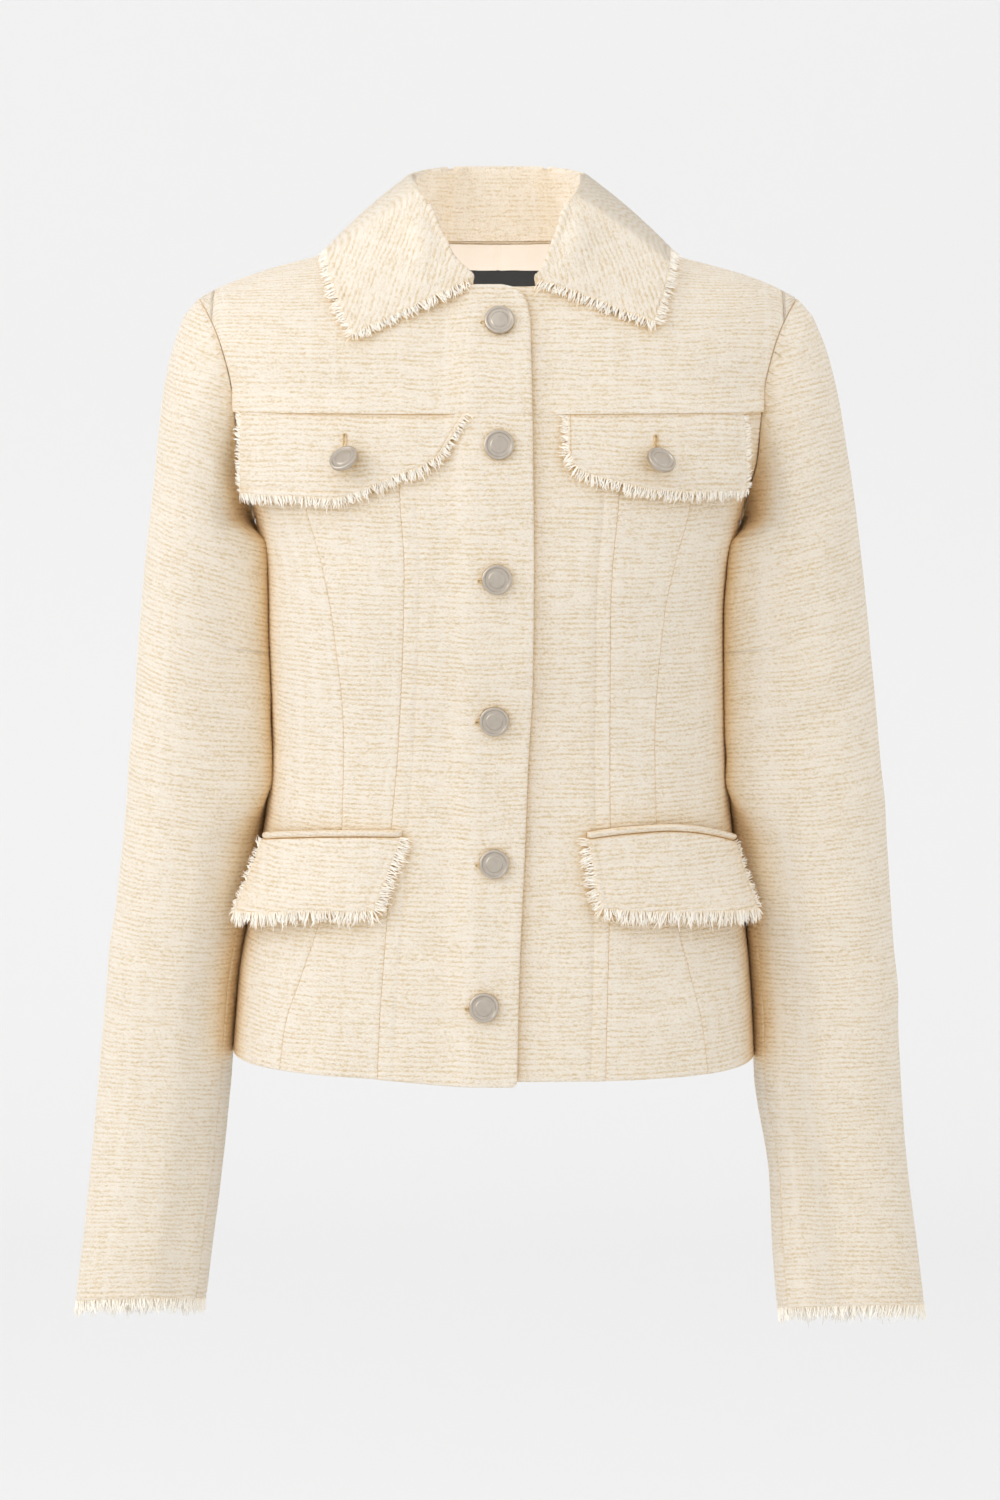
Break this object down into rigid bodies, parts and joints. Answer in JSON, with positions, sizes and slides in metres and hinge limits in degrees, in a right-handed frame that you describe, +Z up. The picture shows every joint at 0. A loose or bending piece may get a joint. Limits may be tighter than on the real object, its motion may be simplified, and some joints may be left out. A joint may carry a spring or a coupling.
{
  "type": "cropped tweed jacket",
  "caption": "Cropped tweed jacket in its worn hollow form: fold-over collar, buttoned front, chest and hip pocket flaps, frayed edges and long sleeves.",
  "frame": {"origin": "middle of the neck's base, level with the shoulder tips, where the wearer's shoulders hold the jacket up", "axes": "+Z up, front towards -Y, the wearer's right at -X"},
  "size_m": [0.5478, 0.2458, 0.7501],
  "materials": {
    "cream_tweed": "matt cream boucle tweed with level slubby ribs",
    "frayed_yarn": "loose frayed cream yarn, matt",
    "cream_lining": "smooth cream lining cloth, soft sheen",
    "black_label": "plain black woven label, no lettering",
    "satin_nickel": "satin nickel-plated metal button"
  },
  "bodies": {
    "root": {"front_yoke_right": "cream_tweed", "front_yoke_left": "cream_tweed", "front_centre_right": "cream_tweed", "front_centre_left": "cream_tweed", "front_middle_right": "cream_tweed", "front_middle_left": "cream_tweed", "front_side_right": "cream_tweed", "front_side_left": "cream_tweed", "back_yoke": "cream_tweed", "back_centre": "cream_tweed", "back_side_right": "cream_tweed", "back_side_left": "cream_tweed", "sleeve_upper_right": "cream_tweed", "sleeve_upper_left": "cream_tweed", "sleeve_under_right": "cream_tweed", "sleeve_under_left": "cream_tweed", "collar": "cream_tweed", "chest_flap_right": "cream_tweed", "chest_flap_left": "cream_tweed", "hip_flap_right": "cream_tweed", "hip_flap_left": "cream_tweed", "pocket_welt_right": "cream_tweed", "pocket_welt_left": "cream_tweed", "back_neck_lining": "cream_lining", "neck_label": "black_label", "button_front_1": "satin_nickel", "button_front_2": "satin_nickel", "button_front_3": "satin_nickel", "button_front_4": "satin_nickel", "button_front_5": "satin_nickel", "button_front_6": "satin_nickel", "button_flap_right": "satin_nickel", "button_flap_left": "satin_nickel", "fringe_collar": "frayed_yarn", "fringe_chest_flap_right": "frayed_yarn", "fringe_chest_flap_left": "frayed_yarn", "fringe_hip_flap_right": "frayed_yarn", "fringe_hip_flap_left": "frayed_yarn", "fringe_cuff_right": "frayed_yarn", "fringe_cuff_left": "frayed_yarn"}
  },
  "joints": []
}
